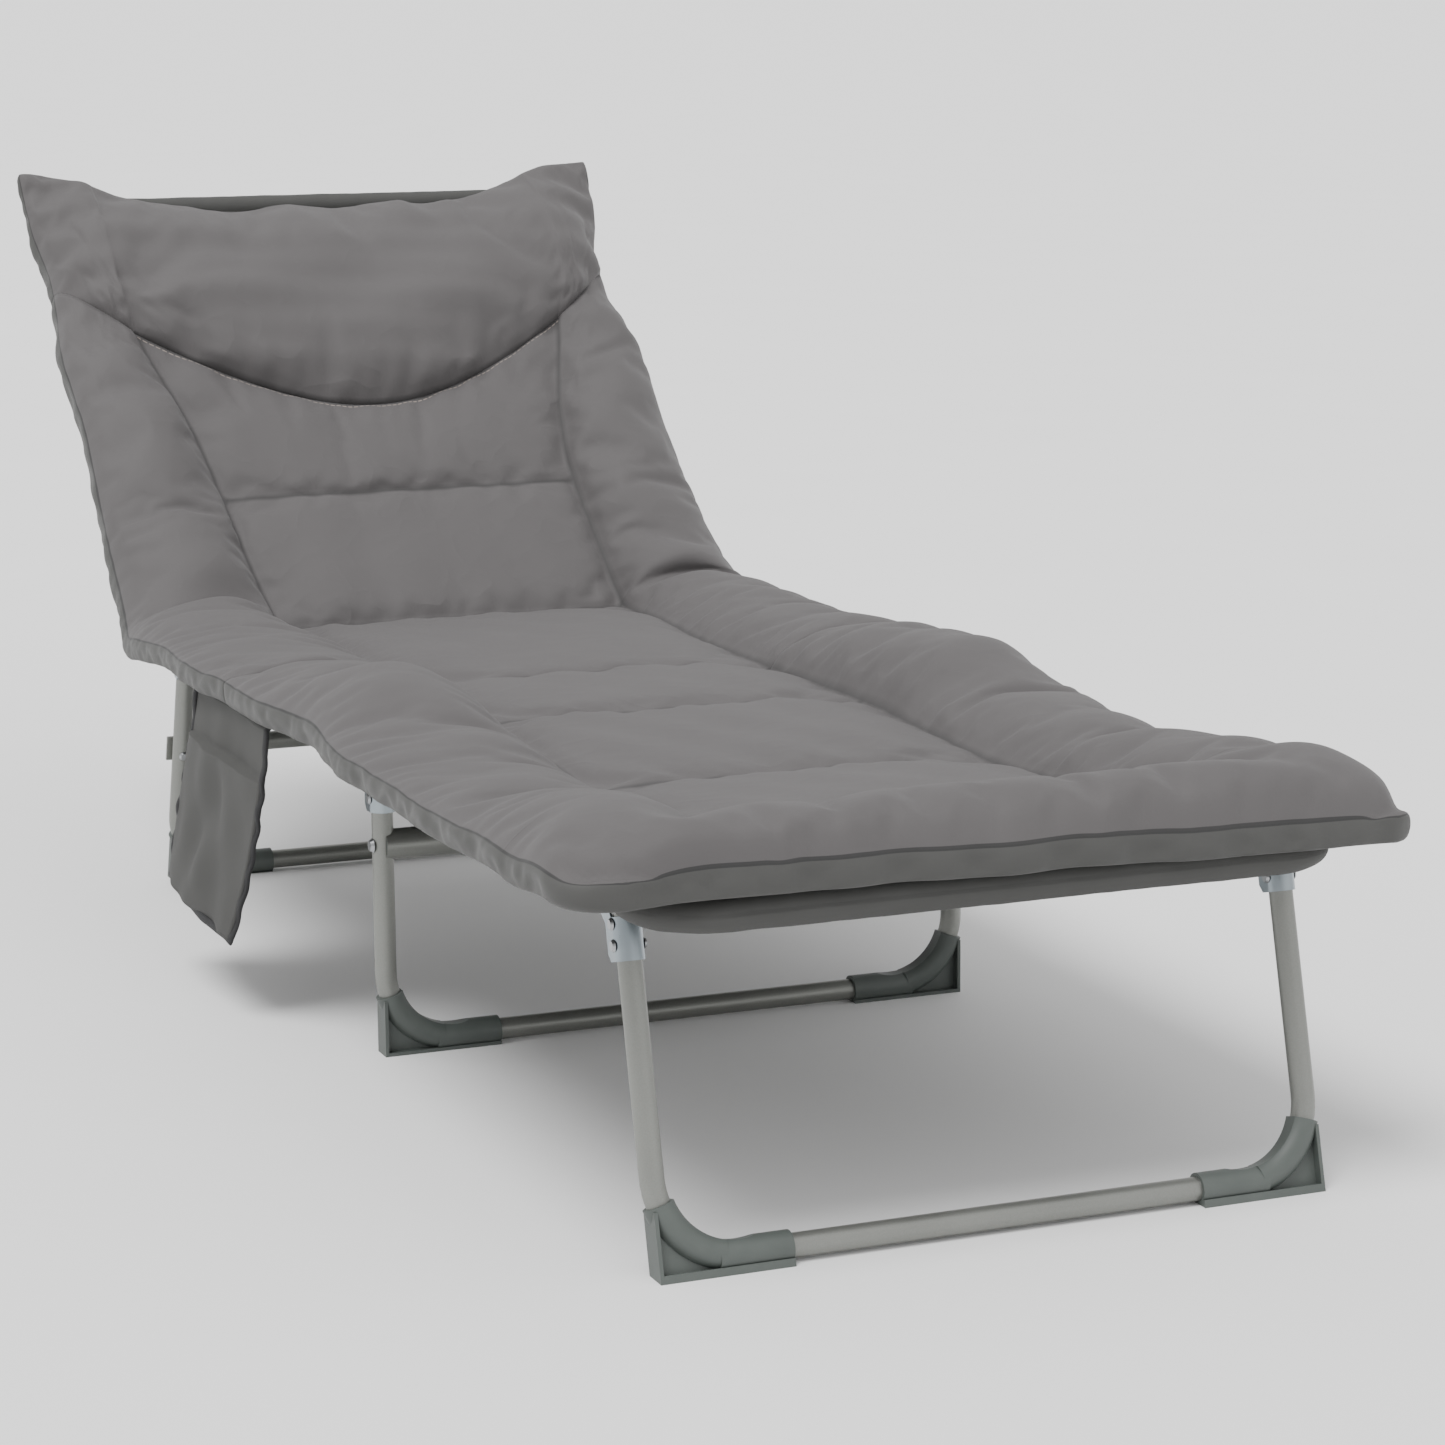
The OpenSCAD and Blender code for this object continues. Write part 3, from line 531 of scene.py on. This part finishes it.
def cover_top(u, v, x, t):
    """Height of the cover over the path: low quilted panels in the middle, a puffed bolster
    between the long seams and the edge, the pillow above the curved seam."""
    panel = curve(t, (-0.03, 0.020), (0.11, 0.027), (0.385, 0.015), (0.645, 0.0215),
                  (0.85, 0.019), (1.15, 0.010), (1.26, 0.0), (1.444, -0.014), (1.563, -0.018),
                  (1.672, -0.018), (1.90, -0.028))
    crest = curve(t, (-0.03, 0.070), (0.005, 0.074), (0.10, 0.067), (0.254, 0.045),
                  (0.372, 0.036), (0.465, 0.040), (0.556, 0.051), (0.61, 0.066), (0.66, 0.067),
                  (0.76, 0.053), (0.846, 0.046), (0.96, 0.037), (1.10, 0.036), (1.208, 0.039),
                  (1.27, 0.036), (1.34, 0.028), (1.48, 0.014), (1.672, 0.004), (1.90, -0.006))
    left = curve(t, (-0.03, 0.044), (0.10, 0.040), (0.40, 0.036), (0.639, 0.038), (0.90, 0.036),
                 (1.10, 0.028), (1.226, 0.012), (1.332, -0.016), (1.47, -0.019),
                 (1.628, -0.030), (1.746, -0.044), (1.84, -0.030), (1.90, -0.015))
    right = curve(t, (-0.03, 0.034), (0.10, 0.029), (0.40, 0.020), (0.639, 0.025), (0.90, 0.020),
                  (1.10, 0.017), (1.226, 0.008), (1.332, -0.016), (1.47, -0.019),
                  (1.628, -0.030), (1.746, -0.044), (1.84, -0.030), (1.90, -0.015))
    edge = left + (right - left) * step(x, -0.34, 0.34)
    edge = edge + 0.0011 * ripples(t, x, 0.13, 0.2, 24)
    e = v % 1
    e = np.where(v >= 7, 0, e)
    high = np.interp(v, [0, 0.99, 1, 3, 4, 4.3, 4.9, 5, 6, 7, 7.01],
                     [0, 0, 0.007, 0.007, 0.006, 0.009, 0.009, 0.010, 0.008, 0.009, 0])
    sunk = 0.009 * step(u, 0.45, 1) * step(-t, -1.2, -1.0) * step(t, 0.11, 0.25)
    quilt = high * (4 * e * (1 - e)) ** 0.42 * np.clip(1 - abs(u) ** 5, 0, 1) ** 0.5
    quilt = quilt - 0.005 * np.exp(-abs(t - 1.26) / 0.007)
    inside = panel - sunk + np.where(abs(u) < 1, quilt, 0)
    out = np.clip(abs(u) - 1, 0, 1)
    fore = np.clip(1 - v, 0, 1)
    q = np.clip((out**6 + fore**6) ** (1 / 6), 0, 1)
    share = fore**4 / (fore**4 + out**4 + 1e-9)
    rise = 0.55 + 0.30 * share
    fall = 0.50 - 0.14 * share
    best = rise / (rise + fall)
    puff = (q / best) ** rise * ((1 - q) / (1 - best)) ** fall
    puff = puff * (1 - 0.55 * step(v, 6.35, 7)) * (1 - 0.6 * step(v, 7, 8))
    ground = inside + (edge - inside) * q**1.3
    h = ground * (1 - puff) + crest * puff
    e = np.clip(v - 7, 0, 1)
    pillow = (e / 0.42) ** 0.42 * ((1 - e) / 0.58) ** 0.58
    h = h + 0.029 * pillow * np.clip(1 - (abs(u) / 2) ** 5, 0, 1) ** 0.6 * (1 - 0.45 * out)
    return h, edge


def gathers(u, v, x, t):
    """Wrinkles of the cover: short puckers that run out of the seams and fade, folds across
    the bolster where it turns up the backrest, and a few long soft folds."""
    out = np.clip(abs(u) - 1, 0, 1)
    fore = np.clip(1 - v, 0, 1)
    seam_side = np.exp(-out * bolster_w / 0.030) * (abs(u) >= 1) * (v >= 0.97) * (v < 7)
    rim_side = np.exp(-(1 - out) * bolster_w / 0.028) * (abs(u) > 1)
    lively = np.clip(0.35 + 0.9 * ripples(t, np.sign(u), 0.30, 3, 38), 0, 1.2)
    across = 0.0021 * ripples(t, abs(x), 0.036, 0.08, 31) * (seam_side + 0.6 * rim_side) * lively
    busy = 1 + 1.8 * np.exp(-((t - 1.27) / 0.07) ** 2) + 0.9 * np.exp(-((t - 0.68) / 0.12) ** 2)
    folds = 0.0024 * ripples(t, x, 0.13, 0.16, 32) * np.sin(np.pi * out) * busy
    ends = np.exp(-fore / 0.2) + np.exp(-(1 - fore) / 0.2)
    ends = 0.0020 * ripples(x, t, 0.045, 0.12, 33) * ends
    ends = ends * (fore > 0) * (1 - out) * np.clip(0.4 + ripples(x, 0, 0.3, 1, 39), 0, 1.2)
    e = np.clip(v - 7, 0, 1)
    pillow = (np.exp(-e / 0.16) + 0.8 * np.exp(-(1 - e) / 0.18)) * (v > 7)
    fan = np.minimum(abs(ripples(np.arctan2(t - 1.70, 0.26 - abs(x)), abs(x), 0.75, 0.5, 46)), 1)
    near = np.exp(-np.hypot(abs(x) - 0.25, t - 1.70) / 0.055) * (v > 7)
    pillow = 0.0030 * pillow * ripples(x, t, 0.060, 0.16, 34) - 0.010 * near * (1 - fan) ** 2
    pillow = pillow + 0.0038 * ripples(x + 0.4 * t, t, 0.30, 0.075, 35) * (v > 7)
    row = np.exp(-(v % 1) / 0.07) + np.exp(-(1 - v % 1) / 0.07)
    quilt = 0.0009 * row * ripples(x, t, 0.040, 0.2, 36) * (abs(u) < 1) * (v > 1) * (v < 7)
    under_arc = np.exp(-abs(v - 7) / 0.30) * (abs(u) < 1) * (v < 7)
    quilt = quilt - 0.0045 * under_arc * (1 - np.minimum(abs(ripples(x, t, 0.11, 0.6, 45)), 1)) ** 3
    quilt = quilt - 0.0045 * np.exp(-abs(abs(u) - 1) / 0.035) * (v > 1) * (v < 7)
    soft = 0.0012 * ripples(x, t, 0.12, 0.12, 37) * (abs(u) < 1) * (v > 1) * (v < 7)
    return across + folds + ends + pillow + quilt + soft


def cushion(name, first, last):
    """One closed length of the mattress: the top, the underside, and a boxing strip of four
    rows all round, welded where they meet. Cut ends are creased, so that two lengths meet."""
    u, v, x, t, smile = lattice(first, last)
    h, edge = cover_top(u, v, x, t)
    rim = (abs(u) > 1.999) | (v < 0.001) | (v > 7.999)
    sewn = rim | ((abs(abs(u) - 1) < 1e-6) & (v >= 1) & (v <= 7))
    row = np.isin(np.round(v, 6), np.arange(first, last + 1))
    sewn = sewn | (row & (abs(u) <= 1))
    cut = row & ((v == first) | (v == last))
    sewn = sewn | cut
    h = h + gathers(u, v, x, t) * ~sewn
    strip = np.where(v > 7.5, 0.014, boxing)
    low = underside(x, t)
    out = np.clip(abs(u) - 1, 0, 1)
    outer = step(out, 0.62, 1)
    low = low + (edge - strip - low) * outer
    low = np.minimum(low, h - 0.006)
    fore = step(1 - v, 0.93, 1.0)
    low = low + (edge - strip - low) * np.where(v < 1, fore, 0)
    aft = step(v - 7, 0.93, 1.0)
    low = low + (edge - strip - low) * aft
    top = place(x, t, h)
    bottom = place(x - 0.002 * np.sign(x) * outer, t, low)
    sheet_uv = np.stack([x, t], axis=-1)
    inner_gap = np.minimum(abs(abs(u) - 1) * np.where(abs(u) < 1, panel_w, bolster_w),
                           np.where(v > 1, 1, (1 - v) * border_w))
    inner_gap = np.where((v >= 1) & (v <= 7), inner_gap, 1)
    lines = [abs(t - s) for s in seams] + [abs(t - smile)]
    cross = np.where(abs(u) <= 1.001, np.min(lines, axis=0), 1)
    seam = np.minimum(inner_gap, cross)
    rim_gap = -np.minimum((2 - abs(u)) * bolster_w,
                          np.minimum(v * border_w, (8 - v) * pillow_w))
    stitch = np.where((abs(u) <= 1.02) & (v > 6.5), smile - t, 1)
    give = np.where((abs(u) < 1) & (v > 1) & (v < 7), 0.0035, 0.0110)
    inner_cut = cut & (v > 0.001) & (v < 7.999)
    parts = [(top, sheet_uv, seam, rim_gap, stitch, sewn, give, inner_cut)]
    parts.append((bottom, sheet_uv) + (1 + 0 * u,) * 5 + (inner_cut,))
    faces = [quads(*u.shape), quads(*u.shape)[:, ::-1]]
    depth = np.linspace(0, 1, 5)[:, None]
    for upper, lower, edge_t, push, real in (
            (top[:, 0], bottom[:, 0], t[:, 0], -1, True),
            (top[:, -1], bottom[:, -1], t[:, -1], 1, True),
            (top[0], bottom[0], x[0], 0, first == 0),
            (top[-1], bottom[-1], x[-1], 0, last == 8)):
        band = upper + (lower - upper) * depth[..., None]
        fall = np.minimum(np.arange(len(edge_t)), np.arange(len(edge_t))[::-1]) > 0
        pleat = 1 + 0.5 * ripples(edge_t, depth, 0.11, 6, 44)
        band[..., 0] += push * 0.0026 * np.sin(np.pi * depth) * fall * pleat
        tall = boxing * depth + 0 * edge_t
        uv = np.stack([edge_t + 0 * depth, tall], axis=-1)
        gap = tall if real else 1 + 0 * tall
        pinned = ((depth < 0.01) | (depth > 0.99)) + 0 * tall if real else 1 + 0 * tall
        ones = 1 + 0 * tall
        at_cut = np.broadcast_to(np.zeros(len(edge_t)) if real else 1, tall.shape)
        parts.append((band, uv, ones, gap, ones, pinned, 0.004 * ones, at_cut))
        faces.append(quads(*tall.shape))
    count = np.cumsum([0] + [part[0].shape[0] * part[0].shape[1] for part in parts])
    faces = np.concatenate([f + c for f, c in zip(faces, count)])
    points = np.concatenate([part[0].reshape(-1, 3) for part in parts])
    fields = [np.concatenate([np.ravel(part[k]) for part in parts]) for k in range(2, 8)]
    uv = np.concatenate([part[1].reshape(-1, 2) for part in parts])
    corners = uv[faces.ravel()]
    key = np.round(points / 2e-6).astype(np.int64)
    kept, where = np.unique(key, axis=0, return_index=True, return_inverse=True)[1:]
    where = where.ravel()
    order = np.argsort(where, kind="stable")
    firsts = np.searchsorted(where[order], np.arange(len(kept)))
    least = [np.minimum.reduceat(f[order], firsts) for f in fields[:3]]
    flat = np.maximum.reduceat(fields[5][order], firsts)
    made = piece(name, points[kept], where[faces], uv[kept], fabric, seam=least[0],
                 edge=least[1], stitch=least[2], sewn=fields[3][kept], give=fields[4][kept])
    made.data.uv_layers["cloth"].data.foreach_set("uv", corners.ravel())
    pairs = np.zeros(len(made.data.edges) * 2, int)
    made.data.edges.foreach_get("vertices", pairs)
    sharp = flat[pairs].reshape(-1, 2).min(axis=1).astype(np.float32)
    made.data.attributes.new("crease_edge", "FLOAT", "EDGE").data.foreach_set("value", sharp)
    bpy.context.view_layer.objects.active = made
    made.select_set(True)
    bpy.ops.object.mode_set(mode="EDIT")
    bpy.ops.mesh.select_all(action="SELECT")
    bpy.ops.mesh.normals_make_consistent(inside=False)
    bpy.ops.object.mode_set(mode="OBJECT")
    made.select_set(False)
    return made


def fill(made, pressure, spare):
    """Fills a cushion: a cloth simulation blows it up with spare cloth between its sewn
    points, and no point moves further from where it was than the cover gives there."""
    count = len(made.data.vertices)
    start = np.zeros(count * 3)
    made.data.vertices.foreach_get("co", start)
    start = start.reshape(-1, 3)
    held = np.zeros(count, np.float32)
    made.data.attributes["sewn"].data.foreach_get("value", held)
    group = made.vertex_groups.new(name="sewn")
    group.add(np.nonzero(held > 0.5)[0].tolist(), 1.0, "REPLACE")
    blow = made.modifiers.new("filling", "CLOTH")
    rules = blow.settings
    rules.quality = 4
    rules.mass = 0.25
    rules.tension_stiffness = 12
    rules.compression_stiffness = 12
    rules.shear_stiffness = 6
    rules.bending_stiffness = 0.8
    rules.shrink_min = -spare
    rules.use_pressure = True
    rules.uniform_pressure_force = pressure
    rules.effector_weights.gravity = 0
    rules.vertex_group_mass = "sewn"
    rules.pin_stiffness = 1
    blow.collision_settings.use_collision = False
    blow.collision_settings.use_self_collision = False
    for moment in range(1, 21):
        bpy.context.scene.frame_set(moment)
    settled = made.evaluated_get(bpy.context.evaluated_depsgraph_get()).to_mesh()
    end = np.zeros(count * 3)
    settled.vertices.foreach_get("co", end)
    move = end.reshape(-1, 3) - start
    far = np.linalg.norm(move, axis=1)[:, None] + 1e-9
    reach = np.zeros(count, np.float32)
    made.data.attributes["give"].data.foreach_get("value", reach)
    reach = reach[:, None]
    move = move / far * reach * np.tanh(far / reach)
    made.modifiers.remove(blow)
    made.data.vertices.foreach_set("co", (start + move).ravel())
    bpy.context.scene.frame_set(1)


mattress_foot = cushion("mattress_foot", 0, 4)
mattress_back = cushion("mattress_back", 4, 7)
pillow = cushion("head_pillow_cover", 7, 8)
for made in (mattress_foot, mattress_back, pillow):
    fill(made, 5.0, 0.035)
    finer = made.modifiers.new("smooth", "SUBSURF")
    finer.levels = 1
    finer.render_levels = 1
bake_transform(mattress_foot)
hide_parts("foot_pad")
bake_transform(mattress_back)
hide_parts("seat_pad", "back_pad")
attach(pillow, "backrest")
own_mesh(pillow)
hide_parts("head_pillow")

# ---------------------------------------------------------------------------------------------
# The side pocket: a flat bag of the base fabric that hangs from the mattress's edge. Its mouth
# is a few centimetres below the top, and its bottom is swung out and towards the head.

pocket_low, pocket_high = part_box("side_pocket")
pocket_t = pocket_low.y - foot_end
pocket_w = pocket_high.y - pocket_low.y
pocket_h = pocket_high.z - pocket_low.z


def hang(a, b, off):
    """Points of the pocket: a along its width, b down its height, off its plane by `off`.
    It narrows and swings out and back towards the bottom."""
    low = np.maximum(b, 0)
    t = pocket_t + pocket_w * (0.5 + (a - 0.5) * (1 - 0.13 * low**3)) + 0.062 * low**1.4
    x = pocket_high.x - 0.004 - 0.020 * low**1.3 + 0.004 * np.sin(5 * a + 2 * b) * b - off
    z = pocket_high.z - 0.003 - pocket_h * b * (1.0 + 0.10 * (1 - a))
    return np.stack(np.broadcast_arrays(x, foot_end + t, z), axis=-1)


a = np.linspace(0, 1, 41)[None, :]
b = np.concatenate([np.linspace(0, 0.235, 12), np.linspace(0.243, 1, 34)])[:, None]
flat_off = 0.0012 + 0.0014 * ripples(a * 0.23, b * 0.2, 0.09, 0.12, 41) * np.sin(np.pi * a)
loose = (b > 0.24) * (0.0025 + 0.007 * np.sin(np.pi * a) ** 0.7 * (1 - b) ** 0.5)
crumple = (b > 0.24) * 0.004 * ripples(b * 0.2, a * 0.23, 0.16, 0.07, 42) * np.sin(np.pi * a)
crumple = crumple * (0.4 + b)
front = hang(a, b, flat_off + loose + crumple)
back = hang(a, b, flat_off + crumple * 0.5 - 0.0024)
outline = np.concatenate([front, back[:, ::-1]], axis=1)
uv = np.stack(np.broadcast_arrays(a * pocket_w, b * pocket_h), axis=-1)
uv = np.concatenate([uv, uv[:, ::-1]], axis=1)
rows, columns = outline.shape[:2]
ring = quads(rows, columns, True)
n = a.shape[1]
lid = np.arange(n - 1)
top_lid = np.stack([lid, columns - 1 - lid, columns - 2 - lid, lid + 1], axis=-1)
base = (rows - 1) * columns
low_lid = np.stack([base + lid, base + lid + 1, base + columns - 2 - lid,
                    base + columns - 1 - lid], axis=-1)
pocket = piece("side_pocket_bag", outline, np.concatenate([ring, top_lid, low_lid]), uv, cloth)
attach(pocket, "seat")
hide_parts("side_pocket")

# ---------------------------------------------------------------------------------------------
# The pocket's binding: black tape folded over its two sides and its bottom edge. At the top
# each end runs on as a short tab over the mattress's boxing strip.

tape, spot = material("binding", "UV")
ribs = weave(spot, 0.0012)
dust = noise(spot, 160.0, 3.0)
surface(spot, mix(dust, (0.010, 0.010, 0.011, 1), (0.024, 0.024, 0.026, 1)), 0.62 + 0.2 * dust,
        ribs, 0.0002)
down = np.linspace(-0.10, 1, 60)
turn = np.linspace(0, 1, 42)
edge_a = np.concatenate([0 * down, turn[1:-1], 1 + 0 * down])
edge_b = np.concatenate([down, 1 + 0 * turn[1:-1], down[::-1]])
wavy = 0.0015 * ripples(edge_b, edge_a, 0.2, 0.3, 43)
line = hang(edge_a, edge_b, 0.001 - 0.004 * (edge_b < 0) + wavy)
binding = sweep("pocket_tape", line, (1.0, 0, 0), 0.0024 + 0 * edge_a, 0.0045 + 0 * edge_a, tape,
                0.06, 8)
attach(binding, "seat")
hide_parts("pocket_binding")

# ---------------------------------------------------------------------------------------------
# The studio: a pale floor, wide soft lights and the camera at about waist height, to the left
# of the foot end and a long way back.

ground, spot = material("studio_floor", "Object")
speck = noise(spot, 3.0)
surface(spot, mix(speck, (0.86, 0.86, 0.86, 1), (0.89, 0.89, 0.89, 1)), 0.9 + 0.05 * speck,
        speck, 0.0001)
far = 90.0
square = np.array([[-far, -far, 0], [far, -far, 0], [far, far, 0], [-far, far, 0]])
floor = piece("floor", square, np.array([[0, 1, 2, 3]]), square[:, :2], ground)

world = bpy.data.worlds.new("studio")
world.use_nodes = True
world.node_tree.nodes["Background"].inputs[0].default_value = (1, 1, 1, 1)
world.node_tree.nodes["Background"].inputs[1].default_value = 0.9
bpy.context.scene.world = world
for name, power, spread, tilt, roll in (("key", 3.2, 30, 11, -24), ("fill", 0.5, 80, 40, 35)):
    light = bpy.data.lights.new(name, "SUN")
    light.energy = power
    light.angle = math.radians(spread)
    lamp = bpy.data.objects.new(name, light)
    lamp.rotation_euler = (math.radians(tilt), math.radians(roll), 0)
    bpy.context.scene.collection.objects.link(lamp)

lens = bpy.data.cameras.new("camera")
lens.lens = 96.6
camera = bpy.data.objects.new("camera", lens)
camera.location = (-1.288, -3.354, 0.955)
camera.rotation_euler = (math.radians(90 - 11.28), 0, math.radians(-22.93))
bpy.context.scene.collection.objects.link(camera)
bpy.context.scene.camera = camera
